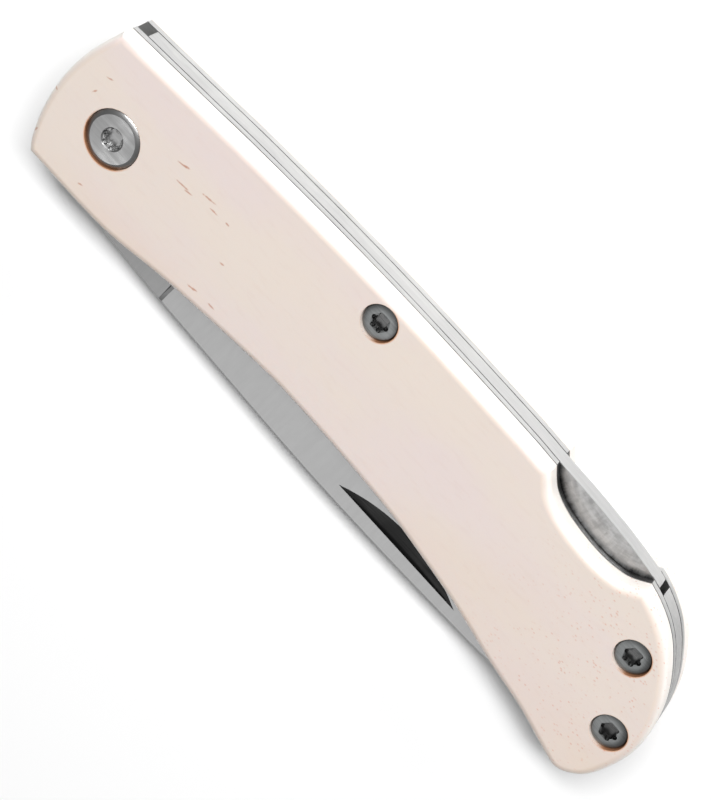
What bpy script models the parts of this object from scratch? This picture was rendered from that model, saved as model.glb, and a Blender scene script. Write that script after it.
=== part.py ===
"""Folding lockback whittling knife with bone scales, shown closed.

Two steel liners carry two bone scales. Between the liners lie the blade, the rocker lock bar
along the spine, its leaf spring and the butt spacer. Screws from both sides thread into barrels.

The outline is drawn about the pivot: X runs to the butt, Y to the spine, Z out of the front
scale. All sizes are in millimetres and every object is placed in metres. The finished knife
rests on its rear scale, with the origin under the middle of its bounding box.
"""
import math

import bpy
import bmesh

MM = 0.001

# Handle
HANDLE_LENGTH = 102.2
HANDLE_HEIGHT = 26.9
SCALE_THICKNESS = 2.7
SCALE_ROUNDING = 1.0
LINER_THICKNESS = 0.9
BAR_THICKNESS = 2.4
PIVOT_FROM_FRONT = 9.05

# Clearances: seated pieces, sliding faces, shafts in holes, stops and swinging pieces
SEAT_GAP = 0.05
SLIDE_GAP = 0.05
SHAFT_GAP = 0.05
HEAD_GAP = 0.1
STOP_GAP = 0.15
SWING_GAP = 0.6

# Pivot, its washers and its screws
PIVOT_BARREL_RADIUS = 2.4
PIVOT_SCREW_RADIUS = 1.45
PIVOT_HEAD_RADIUS = 3.6
PIVOT_HEAD_HEIGHT = 1.7
PIVOT_HEAD_CHAMFER = 0.5
PIVOT_SOCKET_RADIUS = 1.4
PIVOT_SOCKET_DEPTH = 1.0
WASHER_RADIUS = 4.6
WASHER_THICKNESS = 0.12

# Body screws and their barrels
BARREL_RADIUS = 1.6
SCREW_RADIUS = 0.95
HEAD_RADIUS = 2.25
HEAD_HEIGHT = 1.3
HEAD_CHAMFER = 0.3
HEAD_SINK = 0.25
SOCKET_RADIUS = 1.18
SOCKET_DEPTH = 0.8
SOCKET_WAIST = 0.73
SCREW_MEET_GAP = 0.6
LOCK_SCREW_ALONG = 0.4486
LOCK_SCREW_BELOW_SPINE = 3.25
UPPER_SCREW_FROM_BUTT = 8.9
UPPER_SCREW_HEIGHT = 0.169
LOWER_SCREW_FROM_BUTT = 3.7
LOWER_SCREW_HEIGHT = -0.176

# Tang and lock
CAM_RADIUS = 7.2
HOOK_CLEARANCE = 0.1
HOOK_FRONT = -5.5
HOOK_REAR = -1.6
HOOK_DEPTH = 1.1
BAR_DROP_DEGREES = 1.2
SHOULDER_DEPTH = 12.2

# Lock bar
BAR_REAR_FROM_BUTT = 12.75
BAR_GAP = 0.95
BAR_UNDERSIDE_REAR = 8.0
NOTCH_START_FROM_BUTT = 31.0
NOTCH_END_FROM_BUTT = 13.8
NOTCH_DEPTH = 3.0
NOTCH_FALL = 2.3
BOSS_MARGIN = 0.1
BOSS_HALF_ANGLE = 55
BOSS_RUN = 6.0
BAR_HEEL_LENGTH = 0.6
BAR_HEEL_LOW = 0.3
BAR_HEEL_HIGH = 0.8

# Butt spacer's inner edge, set off from the blade's tip and from the spring's slot
FOOT_FROM_TIP = 2.6
TOE_FROM_TIP = 1.6
TOE_ABOVE_TIP = 1.4
WAIST_FROM_TIP = 1.0
SHELF_LENGTH = 0.8
SHELF_LOW = 2.2
SHELF_HIGH = 0.8

# Spring leaf
LEAF_THICKNESS = 0.8
LEAF_ROOT_DEPTH = 3.6
LEAF_ROOT_HEIGHT = 1.0
LEAF_REACH = 25.0

# Blade
PLUNGE_X = 16.0
PLUNGE_RUN = 0.5
GRIND_BITE = 0.06
RICASSO_X = 14.4
EDGE_LINE = 2.6
EDGE_THICKNESS = 0.16
TIP_THICKNESS = 0.5
TIP_GAP = 2.2
NICK_FROM_TIP = 26.3
NICK_HALF_LENGTH = 9.95
NICK_WIDTH = 3.25
NICK_DEPTH = 0.45
NICK_FROM_BACK = 1.8
NICK_OVERRUN = 1.15
NICK_LIFT = 1.0
GRIND_FULL_SHARE = 0.8
GRIND_POWER = 0.7
EDGE_LEAN = 0.02
TANG_HEEL_DEGREES = 32

CURVE_STEPS = 4
FRONT_STEPS = 12
NOTCH_STEPS = 2
ROUND_STEPS = 28
BOSS_STEPS = 12
HEEL_STEPS = 4
CAM_STEPS = 16
SOCKET_STEPS = 24
NICK_STEPS = 18

# Layers, worked out from the middle plane outwards
SLOT_HALF = BAR_THICKNESS / 2 + SLIDE_GAP
LINER_OUTER = SLOT_HALF + LINER_THICKNESS
SCALE_INNER = LINER_OUTER + SEAT_GAP
SCALE_OUTER = SCALE_INNER + SCALE_THICKNESS
BLADE_HALF = SLOT_HALF - 2 * SLIDE_GAP - WASHER_THICKNESS
BUTT_X = HANDLE_LENGTH - PIVOT_FROM_FRONT
BAR_REAR = BUTT_X - BAR_REAR_FROM_BUTT
SPACER_FRONT = BAR_REAR + BAR_GAP
TIP_X = SPACER_FRONT + TIP_GAP

# Outline stations: share of the handle's length from the front, share of its height from the pivot
TOP_SHAPE = [
    (0.018, 0.396), (0.125, 0.424), (0.216, 0.449), (0.343, 0.474), (0.470, 0.487), (0.637, 0.487),
    (0.697, 0.480), (0.763, 0.472), (0.835, 0.450), (0.883, 0.411), (0.928, 0.320), (0.968, 0.155),
    (0.991, -0.012), (1.000, -0.170), (0.997, -0.318), (0.986, -0.444), (0.962, -0.520),
]
BELLY_SHAPE = [
    (0.934, -0.505), (0.880, -0.448), (0.815, -0.401),
    (0.740, -0.335), (0.667, -0.290), (0.613, -0.262), (0.535, -0.245), (0.454, -0.238),
    (0.385, -0.247), (0.249, -0.304), (0.144, -0.367), (0.022, -0.370),
]
FRONT_BULGE = (-0.0035, 0.011)
BACK_SHAPE = [
    (0.244, -0.479), (0.350, -0.494), (0.500, -0.513), (0.620, -0.513), (0.710, -0.504),
    (0.805, -0.489), (0.855, -0.463),
]
TIP_HEIGHT = -0.385
EDGE_DROP = [0.0, 0.0, 0.15, 0.9, 2.6, 6.2]


def smooth(points, steps=CURVE_STEPS):
    """Catmull-Rom curve through the points, both ends included."""
    padded = [points[0]] + list(points) + [points[-1]]
    curve = []
    for i in range(len(points) - 1):
        a, b, c, d = padded[i:i + 4]
        for step in range(steps):
            t = step / steps
            curve.append(tuple(
                0.5 * (2 * b[k] + (c[k] - a[k]) * t
                       + (2 * a[k] - 5 * b[k] + 4 * c[k] - d[k]) * t ** 2
                       + (3 * b[k] - 3 * c[k] + d[k] - a[k]) * t ** 3)
                for k in range(2)))
    curve.append(tuple(points[-1]))
    return curve


def station(share):
    """Turn a share of the handle's length and height into millimetres about the pivot."""
    along, up = share
    return (along * HANDLE_LENGTH - PIVOT_FROM_FRONT, up * HANDLE_HEIGHT)


def height_at(curve, x):
    """Height of a curve where it first crosses x."""
    for (x0, y0), (x1, y1) in zip(curve, curve[1:]):
        if min(x0, x1) <= x <= max(x0, x1) and x0 != x1:
            return y0 + (y1 - y0) * (x - x0) / (x1 - x0)
    raise ValueError(f"the curve does not reach {x}")


def arc(center, radius, start, end, steps):
    """Points of an arc, angles in degrees."""
    turn = [math.radians(start + (end - start) * i / steps) for i in range(steps + 1)]
    return [(center[0] + radius * math.cos(a), center[1] + radius * math.sin(a)) for a in turn]


def arc_through(first, middle, last, steps):
    """Arc that bulges from one point to another by as much as the middle point does."""
    half = math.dist(first, last) / 2
    rise = (first[0] + last[0]) / 2 - middle[0]
    radius = (half ** 2 + rise ** 2) / (2 * rise)
    center = ((first[0] + last[0]) / 2 + radius - rise, (first[1] + last[1]) / 2)
    spread = math.degrees(math.asin(half / radius))
    tilt = math.degrees(math.atan2(last[0] - first[0], last[1] - first[1]))
    points = arc(center, radius, 180 + spread - tilt, 180 - spread - tilt, steps)
    return [first] + points[1:-1] + [last]


RIM = smooth([station(p) for p in TOP_SHAPE + BELLY_SHAPE])
TOP = RIM[:(len(TOP_SHAPE) - 1) * CURVE_STEPS + 1]
BELLY = RIM[len(TOP) - 1:]
FRONT = arc_through(BELLY[-1], station(FRONT_BULGE), TOP[0], FRONT_STEPS)

BACK_LINE = smooth([station(p) for p in BACK_SHAPE] + [(TIP_X, TIP_HEIGHT * HANDLE_HEIGHT)])
LOWEST = min(y for _, y in BELLY + BACK_LINE)
HIGHEST = max(y for _, y in TOP)
FOREMOST = min(x for x, _ in FRONT)
REARMOST = max(x for x, _ in TOP)
CENTER_X = (FOREMOST + REARMOST) / 2
CENTER_Y = (LOWEST + HIGHEST) / 2

LOCK_X = LOCK_SCREW_ALONG * HANDLE_LENGTH - PIVOT_FROM_FRONT
LOCK_SCREW = (LOCK_X, height_at(TOP, LOCK_X) - LOCK_SCREW_BELOW_SPINE)
UPPER_SCREW = (BUTT_X - UPPER_SCREW_FROM_BUTT, UPPER_SCREW_HEIGHT * HANDLE_HEIGHT)
LOWER_SCREW = (BUTT_X - LOWER_SCREW_FROM_BUTT, LOWER_SCREW_HEIGHT * HANDLE_HEIGHT)
BODY_SCREWS = {"lock_bar": LOCK_SCREW, "upper_butt": UPPER_SCREW, "lower_butt": LOWER_SCREW}


def clear_scene():
    """Start from an empty scene."""
    for old in list(bpy.data.objects):
        bpy.data.objects.remove(old, do_unlink=True)


def material(name, color, roughness, metallic):
    """Principled material with one colour."""
    made = bpy.data.materials.new(name)
    made.use_nodes = True
    shader = made.node_tree.nodes["Principled BSDF"]
    shader.inputs["Base Color"].default_value = (*color, 1.0)
    shader.inputs["Roughness"].default_value = roughness
    shader.inputs["Metallic"].default_value = metallic
    return made


def add_object(name, bm, at=(0.0, 0.0, 0.0)):
    """Make an object of a bmesh in millimetres, with its origin at a point about the pivot."""
    mesh = bpy.data.meshes.new(name)
    bmesh.ops.recalc_face_normals(bm, faces=bm.faces)
    bmesh.ops.scale(bm, vec=(MM, MM, MM), verts=bm.verts)
    bm.to_mesh(mesh)
    bm.free()
    made = bpy.data.objects.new(name, mesh)
    place(made, at)
    bpy.context.collection.objects.link(made)
    return made


def place(made, at):
    """Put an object's origin at a point given in millimetres about the pivot."""
    x, y, z = at
    made.location = ((x - CENTER_X) * MM, (y - CENTER_Y) * MM, (z + SCALE_OUTER) * MM)


def extruded(outline, low, high):
    """Bmesh of a flat outline between two heights."""
    bm = bmesh.new()
    bottom = [bm.verts.new((x, y, low)) for x, y in outline]
    face = bm.faces.new(bottom)
    made = bmesh.ops.extrude_face_region(bm, geom=[face])
    top = [item for item in made["geom"] if isinstance(item, bmesh.types.BMVert)]
    bmesh.ops.translate(bm, vec=(0, 0, high - low), verts=top)
    return bm


def turned(profile, steps=ROUND_STEPS):
    """Bmesh of a profile of (radius, height) points spun round Z; it ends on the axis or closes."""
    bm = bmesh.new()
    verts = [bm.verts.new((radius, 0, height)) for radius, height in profile]
    pairs = list(zip(verts, verts[1:]))
    if profile[0][0] > 0:
        pairs.append((verts[-1], verts[0]))
    edges = [bm.edges.new(pair) for pair in pairs]
    bmesh.ops.spin(bm, geom=verts + edges, cent=(0, 0, 0), axis=(0, 0, 1),
                   angle=2 * math.pi, steps=steps, use_merge=True)
    bmesh.ops.remove_doubles(bm, verts=bm.verts, dist=1e-4)
    return bm


def drill(bm, center, levels):
    """Add a round cutter to a bmesh: a radius at each height, in order, makes a plain or stepped hole."""
    levels = levels if levels[0][1] < levels[-1][1] else levels[::-1]
    rings = [
        [bm.verts.new((x, y, height)) for x, y in arc(center, radius, 0, 360, ROUND_STEPS)[:-1]]
        for radius, height in levels
    ]
    for near, far in zip(rings, rings[1:]):
        for i, vert in enumerate(near):
            bm.faces.new((near[i - 1], vert, far[i], far[i - 1]))
    bm.faces.new(rings[0][::-1])
    bm.faces.new(rings[-1])


def through(bm, center, shaft):
    """Add a plain hole for a shaft, through every inner layer."""
    drill(bm, center, [(shaft + SHAFT_GAP, -SCALE_OUTER), (shaft + SHAFT_GAP, SCALE_OUTER)])


def cut(target, name, bm, at=(0.0, 0.0, 0.0)):
    """Subtract a bmesh from an object with a live Boolean."""
    cutter = add_object(name, bm, at)
    cutter.hide_render = True
    cutter.display_type = "WIRE"
    boolean = target.modifiers.new(name, "BOOLEAN")
    boolean.operation = "DIFFERENCE"
    boolean.solver = "EXACT"
    boolean.object = cutter


def shade_round(made):
    """Smooth shading on turned walls, with sharp edges where faces meet at an angle."""
    made.data.shade_smooth()
    made.data.set_sharp_from_angle(angle=math.radians(35))


def notched_outline():
    """Handle outline with the thumb notch that uncovers the lock bar."""
    start = BUTT_X - NOTCH_START_FROM_BUTT
    end = BUTT_X - NOTCH_END_FROM_BUTT
    base = height_at(TOP, end)
    floor = base - NOTCH_FALL
    shape = [(0.12, 0.55), (0.28, 0.18), (0.47, 0.02), (0.67, 0.0), (0.86, 0.22)]
    notch = [(start + along * (end - start), floor + up * NOTCH_DEPTH) for along, up in shape]
    notch = smooth([(start, height_at(TOP, start))] + notch + [(end, base)], NOTCH_STEPS)
    before = [p for p in TOP if p[0] < start - SCALE_ROUNDING]
    after = TOP[next(i for i, p in enumerate(TOP) if p[0] > end + SCALE_ROUNDING):]
    return before + notch + after + BELLY[1:] + FRONT[1:-1]


def make_scale(name, side, bone):
    """Bone scale with a rounded outer edge, counterbored for the screw heads."""
    inner, outer = side * SCALE_INNER, side * SCALE_OUTER
    scale = add_object(name, extruded(notched_outline(), min(inner, outer), max(inner, outer)))
    scale.data.materials.append(bone)
    weights = scale.data.attributes.new("bevel_weight_edge", "FLOAT", "EDGE")
    outer_z = outer * MM
    for edge in scale.data.edges:
        ends = [scale.data.vertices[i].co.z for i in edge.vertices]
        weights.data[edge.index].value = float(all(abs(z - outer_z) < 1e-6 for z in ends))
    bevel = scale.modifiers.new("rounded edge", "BEVEL")
    bevel.limit_method = "WEIGHT"
    bevel.width = SCALE_ROUNDING * MM
    bevel.segments = 2
    bevel.use_clamp_overlap = False
    holes = bmesh.new()
    start, far = inner - side, outer + side
    seat = outer - side * (PIVOT_HEAD_HEIGHT + SEAT_GAP)
    drill(holes, (0, 0), [
        (PIVOT_SCREW_RADIUS + HEAD_GAP, start), (PIVOT_SCREW_RADIUS + HEAD_GAP, seat),
        (PIVOT_HEAD_RADIUS + HEAD_GAP, seat), (PIVOT_HEAD_RADIUS + HEAD_GAP, far),
    ])
    seat = outer - side * (HEAD_HEIGHT + HEAD_SINK + SEAT_GAP)
    for center in BODY_SCREWS.values():
        drill(holes, center, [
            (SCREW_RADIUS + HEAD_GAP, start), (SCREW_RADIUS + HEAD_GAP, seat),
            (HEAD_RADIUS + HEAD_GAP, seat), (HEAD_RADIUS + HEAD_GAP, far),
        ])
    cut(scale, f"{name}_holes", holes)


def make_liner(name, side, steel):
    """Steel liner, drilled for the pivot barrel and the three body barrels."""
    heights = sorted((side * SLOT_HALF, side * LINER_OUTER))
    liner = add_object(name, extruded(notched_outline(), *heights))
    liner.data.materials.append(steel)
    holes = bmesh.new()
    through(holes, (0, 0), PIVOT_BARREL_RADIUS)
    for center in BODY_SCREWS.values():
        through(holes, center, BARREL_RADIUS)
    cut(liner, f"{name}_holes", holes)


def hook_bottom():
    """Height of the hook's flat underside, clear of the cam while the bar is level."""
    return math.sqrt((CAM_RADIUS + HOOK_CLEARANCE) ** 2 - HOOK_REAR ** 2)


def notch_floor():
    """Depth of the tang's lock notch, clear of the hook when the bar has dropped."""
    reach = LOCK_SCREW[0] - HOOK_FRONT
    drop = reach * math.sin(math.radians(BAR_DROP_DEGREES))
    return hook_bottom() - drop - HOOK_CLEARANCE


def make_lock_bar(steel):
    """Rocker bar along the spine, with the hook at its front end and a boss at its pivot."""
    top = [(x, y) for x, y in TOP if HOOK_FRONT < x < BAR_REAR]
    top = [(HOOK_FRONT, height_at(TOP, HOOK_FRONT))] + top + [(BAR_REAR, height_at(TOP, BAR_REAR))]
    underside = hook_bottom() + HOOK_DEPTH
    boss = arc(LOCK_SCREW, LOCK_SCREW_BELOW_SPINE + BOSS_MARGIN,
               BOSS_HALF_ANGLE - 90, -BOSS_HALF_ANGLE - 90, BOSS_STEPS)
    outline = top + [
        (BAR_REAR, BAR_UNDERSIDE_REAR + BAR_HEEL_HIGH),
        (BAR_REAR - BAR_HEEL_LENGTH, BAR_UNDERSIDE_REAR + BAR_HEEL_LOW),
        (boss[0][0] + BOSS_RUN, BAR_UNDERSIDE_REAR),
    ] + boss + [
        (boss[-1][0] - BOSS_RUN, underside), (HOOK_REAR, underside),
        (HOOK_REAR, hook_bottom()), (HOOK_FRONT, hook_bottom()),
    ]
    local = [(x - LOCK_SCREW[0], y - LOCK_SCREW[1]) for x, y in outline]
    bar = add_object("lock_bar", extruded(local, -BAR_THICKNESS / 2, BAR_THICKNESS / 2), (*LOCK_SCREW, 0))
    bar.data.materials.append(steel)
    holes = bmesh.new()
    through(holes, (0, 0), BARREL_RADIUS)
    cut(bar, "lock_bar_hole", holes, (*LOCK_SCREW, 0))


def spacer_outline():
    """Butt spacer between the liners, clear of the blade's tip, with a slot for the leaf."""
    outer = [(x, y) for x, y in TOP if x > SPACER_FRONT or y < 0]
    outer = [(SPACER_FRONT, height_at(TOP, SPACER_FRONT))] + outer
    foot_x = TIP_X + SWING_GAP + FOOT_FROM_TIP
    outer += [p for p in BELLY[1:] if p[0] > foot_x]
    outer.append((foot_x, height_at(BELLY, foot_x)))
    slot_low = LEAF_ROOT_HEIGHT - LEAF_THICKNESS / 2 - SEAT_GAP
    slot_high = LEAF_ROOT_HEIGHT + LEAF_THICKNESS / 2 + SEAT_GAP
    slot_end = SPACER_FRONT + LEAF_ROOT_DEPTH + SEAT_GAP
    inner = [
        (TIP_X + SWING_GAP + TOE_FROM_TIP, TIP_HEIGHT * HANDLE_HEIGHT + TOE_ABOVE_TIP),
        (TIP_X + WAIST_FROM_TIP, LOWER_SCREW[1]),
        (SPACER_FRONT + SHELF_LENGTH, slot_low - SHELF_LOW), (SPACER_FRONT, slot_low - SHELF_HIGH),
        (SPACER_FRONT, slot_low), (slot_end, slot_low), (slot_end, slot_high), (SPACER_FRONT, slot_high),
    ]
    return outer + inner


def make_spacer(steel):
    """Solid spacer that closes the butt and holds the root of the spring."""
    heights = (-BAR_THICKNESS / 2, BAR_THICKNESS / 2)
    spacer = add_object("butt_spacer", extruded(spacer_outline(), *heights))
    spacer.data.materials.append(steel)
    holes = bmesh.new()
    for center in (UPPER_SCREW, LOWER_SCREW):
        through(holes, center, BARREL_RADIUS)
    cut(spacer, "butt_spacer_holes", holes)


def make_spring(steel):
    """Leaf spring: root in the spacer's slot, tip under the rear arm of the lock bar."""
    root = SPACER_FRONT + LEAF_ROOT_DEPTH
    tip_x = SPACER_FRONT - LEAF_REACH + LEAF_ROOT_DEPTH
    tip_y = BAR_UNDERSIDE_REAR - LEAF_THICKNESS / 2 - SLIDE_GAP
    rise = tip_y - LEAF_ROOT_HEIGHT
    run = SPACER_FRONT - tip_x
    middle = smooth([
        (root, LEAF_ROOT_HEIGHT), (SPACER_FRONT - 0.02 * run, LEAF_ROOT_HEIGHT),
        (SPACER_FRONT - 0.07 * run, LEAF_ROOT_HEIGHT),
        (SPACER_FRONT - 0.30 * run, LEAF_ROOT_HEIGHT + 0.16 * rise),
        (SPACER_FRONT - 0.60 * run, LEAF_ROOT_HEIGHT + 0.56 * rise),
        (SPACER_FRONT - 0.88 * run, LEAF_ROOT_HEIGHT + 0.93 * rise),
        (tip_x, tip_y),
    ])
    above = offset(middle, -LEAF_THICKNESS / 2)
    below = offset(middle, LEAF_THICKNESS / 2)
    outline = above + below[::-1]
    leaf = add_object("lock_spring", extruded(outline, -BAR_THICKNESS / 2, BAR_THICKNESS / 2))
    leaf.data.materials.append(steel)


def offset(curve, distance):
    """Curve moved sideways, each point square to its neighbours."""
    moved = []
    for i, (x, y) in enumerate(curve):
        x0, y0 = curve[max(i - 1, 0)]
        x1, y1 = curve[min(i + 1, len(curve) - 1)]
        length = math.hypot(x1 - x0, y1 - y0)
        moved.append((x - distance * (y1 - y0) / length, y + distance * (x1 - x0) / length))
    return moved


def tang_outline():
    """Tang from the ricasso round the cam, with the closed rest, the lock notch and the shoulder."""
    flat = notch_floor()
    flat_angle = math.degrees(math.asin(flat / CAM_RADIUS))
    wall_x = -HOOK_REAR - STOP_GAP
    shoulder_x = -HOOK_FRONT + STOP_GAP
    wall_angle = 360 - math.degrees(math.acos(wall_x / CAM_RADIUS))
    outline = [(RICASSO_X, EDGE_LINE)]
    outline += arc((0, 0), CAM_RADIUS, TANG_HEEL_DEGREES, flat_angle, HEEL_STEPS)
    outline += arc((0, 0), CAM_RADIUS, 180 - flat_angle, wall_angle, CAM_STEPS)
    outline += [
        (wall_x, -flat), (shoulder_x, -flat), (shoulder_x, -SHOULDER_DEPTH),
        (RICASSO_X, ricasso_back()),
    ]
    return outline


def ricasso_back():
    """Height of the blade's back where the ricasso ends."""
    first_x, first_y = BACK_LINE[0]
    slope = (first_y + SHOULDER_DEPTH) / (first_x + HOOK_FRONT)
    return first_y - slope * (first_x - RICASSO_X)


def blade_sections():
    """Pairs of back and edge points with their half thicknesses, from the ricasso to the tip."""
    heads = [station(p)[0] for p in BACK_SHAPE]
    lean = EDGE_LEAN * (heads[-1] - PLUNGE_X)
    edge = [(PLUNGE_X, EDGE_LINE)]
    edge += [(x - lean, EDGE_LINE - drop) for x, drop in zip(heads[1:], EDGE_DROP)]
    edge = smooth(edge + [(TIP_X, BACK_LINE[-1][1] + TIP_THICKNESS)])
    backs = [(PLUNGE_X + PLUNGE_RUN, height_at(BACK_LINE, PLUNGE_X + PLUNGE_RUN))] + BACK_LINE[1:]
    edges = [(PLUNGE_X + 2 * PLUNGE_RUN, EDGE_LINE)] + edge[1:]
    full = EDGE_LINE - min(y for _, y in BACK_LINE)
    plunge_back = (PLUNGE_X, height_at(BACK_LINE, PLUNGE_X))
    sections = [(plunge_back, (PLUNGE_X, EDGE_LINE), BLADE_HALF, BLADE_HALF)]
    for back, sharp in zip(backs, edges):
        height = (sharp[1] - back[1]) / full
        share = min(1.0, height / GRIND_FULL_SHARE)
        half = max((BLADE_HALF - GRIND_BITE) * share ** GRIND_POWER, TIP_THICKNESS / 2)
        sections.append((back, sharp, half, EDGE_THICKNESS / 2))
    return sections


def make_blade(steel):
    """Blade with a full flat grind: the tang plate's end face is drawn out section by section."""
    bm = extruded(tang_outline(), -BLADE_HALF, BLADE_HALF)
    bm.normal_update()
    end = max((f for f in bm.faces if len(f.verts) == 4), key=lambda f: f.calc_center_median().x)
    for back, sharp, back_half, edge_half in blade_sections():
        middle = end.calc_center_median()
        made = bmesh.ops.extrude_discrete_faces(bm, faces=[end])
        end = made["faces"][0]
        for vert in end.verts:
            point, half = (back, back_half) if vert.co.y < middle.y else (sharp, edge_half)
            side = 1 if vert.co.z > 0 else -1
            vert.co = (*point, side * half)
    bmesh.ops.remove_doubles(bm, verts=bm.verts, dist=1e-4)
    blade = add_object("blade", bm)
    blade.data.materials.append(steel)
    holes = bmesh.new()
    through(holes, (0, 0), PIVOT_BARREL_RADIUS)
    cut(blade, "blade_pivot_hole", holes)
    cut(blade, "blade_nail_nick", nick_cutter())


def nick_cutter():
    """Nail nick: a wedge swept along a wide arc, so that it fades out at both ends."""
    center_x = TIP_X - NICK_FROM_TIP
    back_y = height_at(BACK_LINE, center_x) + NICK_FROM_BACK
    face_z = (BLADE_HALF - GRIND_BITE) * (1 - NICK_FROM_BACK / (EDGE_LINE - back_y))
    bm = bmesh.new()
    rings = []
    for i in range(NICK_STEPS + 1):
        along = (2 * i / NICK_STEPS - 1) * NICK_OVERRUN
        depth = NICK_DEPTH * (1 - along ** 2)
        slope = NICK_WIDTH / NICK_DEPTH
        x = center_x + along * NICK_HALF_LENGTH
        top_z = face_z + NICK_LIFT
        ring = [(x, back_y, face_z - depth), (x, back_y + slope * (depth + NICK_LIFT), top_z),
                (x, back_y, top_z)]
        rings.append([bm.verts.new(p) for p in ring])
    for a, b in zip(rings, rings[1:]):
        for k in range(3):
            n = (k + 1) % 3
            bm.faces.new((a[k], a[n], b[n], b[k]))
    bm.faces.new(rings[0][::-1])
    bm.faces.new(rings[-1])
    return bm


def make_barrel(name, center, radius, bore, steel):
    """Threaded barrel from liner face to liner face."""
    profile = [(bore, -LINER_OUTER), (radius, -LINER_OUTER), (radius, LINER_OUTER), (bore, LINER_OUTER)]
    barrel = add_object(name, turned(profile), (*center, 0))
    barrel.data.materials.append(steel)
    shade_round(barrel)


def screw_mesh(name, shank, head, height, chamfer, sink, steel):
    """Mesh of a screw whose Z runs out of the head, measured from the knife's middle plane."""
    crown = SCALE_OUTER - sink
    profile = [
        (0, SCREW_MEET_GAP / 2), (shank, SCREW_MEET_GAP / 2), (shank, crown - height),
        (head, crown - height), (head, crown - chamfer), (head - chamfer, crown), (0, crown),
    ]
    made = add_object(name, turned(profile), (0, 0, 0))
    made.data.materials.append(steel)
    shade_round(made)
    return made


def socket_cutter(radius, depth, sink):
    """Six-lobed driver socket."""
    mean = radius * (1 + SOCKET_WAIST) / 2
    swing = radius * (1 - SOCKET_WAIST) / 2
    turns = [2 * math.pi * i / SOCKET_STEPS for i in range(SOCKET_STEPS)]
    outline = [((mean + swing * math.cos(6 * a)) * math.cos(a),
                (mean + swing * math.cos(6 * a)) * math.sin(a)) for a in turns]
    crown = SCALE_OUTER - sink
    return extruded(outline, crown - depth, crown + 1)


def make_screw(name, center, side, sizes, steel):
    """Screw with its head in one scale; the rear ones are turned over about X."""
    shank, head, height, chamfer, sink, socket, depth = sizes
    screw = screw_mesh(name, shank, head, height, chamfer, sink, steel)
    cut(screw, f"{name}_socket", socket_cutter(socket, depth, sink))
    cutter = screw.modifiers[-1].object
    for piece in (screw, cutter):
        place(piece, (*center, 0))
        if side < 0:
            piece.rotation_euler = (math.pi, 0, 0)


def make_fasteners(steel, dark_steel, bronze):
    """Pivot and body fasteners: a barrel and two screws each, and the pivot's washers."""
    make_barrel("pivot_barrel", (0, 0), PIVOT_BARREL_RADIUS, PIVOT_SCREW_RADIUS + SHAFT_GAP, steel)
    pivot = (PIVOT_SCREW_RADIUS, PIVOT_HEAD_RADIUS, PIVOT_HEAD_HEIGHT, PIVOT_HEAD_CHAMFER, 0.0,
             PIVOT_SOCKET_RADIUS, PIVOT_SOCKET_DEPTH)
    body = (SCREW_RADIUS, HEAD_RADIUS, HEAD_HEIGHT, HEAD_CHAMFER, HEAD_SINK, SOCKET_RADIUS, SOCKET_DEPTH)
    for label, side in (("front", 1), ("rear", -1)):
        make_screw(f"{label}_pivot_screw", (0, 0), side, pivot, steel)
        make_washer(f"{label}_pivot_washer", side, bronze)
        for place_name, center in BODY_SCREWS.items():
            make_screw(f"{label}_{place_name}_screw", center, side, body, dark_steel)
    for place_name, center in BODY_SCREWS.items():
        make_barrel(f"{place_name}_barrel", center, BARREL_RADIUS, SCREW_RADIUS + SHAFT_GAP, steel)


def make_washer(name, side, bronze):
    """Thin washer between the tang and a liner."""
    heights = sorted((side * (BLADE_HALF + SLIDE_GAP), side * (SLOT_HALF - SLIDE_GAP)))
    bore = PIVOT_BARREL_RADIUS + SHAFT_GAP
    inner, outer = heights
    profile = [(bore, inner), (WASHER_RADIUS, inner), (WASHER_RADIUS, outer), (bore, outer)]
    washer = add_object(name, turned(profile))
    washer.data.materials.append(bronze)
    shade_round(washer)


def build():
    """Build the whole knife, closed."""
    clear_scene()
    bone = material("bone", (0.84, 0.76, 0.69), 0.42, 0.0)
    liner_steel = material("liner_steel", (0.72, 0.72, 0.72), 0.35, 1.0)
    blade_steel = material("blade_steel", (0.45, 0.46, 0.47), 0.32, 1.0)
    screw_steel = material("screw_steel", (0.36, 0.37, 0.37), 0.3, 1.0)
    dark_steel = material("dark_screw_steel", (0.2, 0.21, 0.21), 0.35, 1.0)
    bronze = material("washer_bronze", (0.6, 0.4, 0.2), 0.35, 1.0)
    for label, side in (("front", 1), ("rear", -1)):
        make_scale(f"{label}_scale", side, bone)
        make_liner(f"{label}_liner", side, liner_steel)
    make_blade(blade_steel)
    make_lock_bar(liner_steel)
    make_spacer(liner_steel)
    make_spring(blade_steel)
    make_fasteners(screw_steel, dark_steel, bronze)


build()
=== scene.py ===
import math

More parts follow.
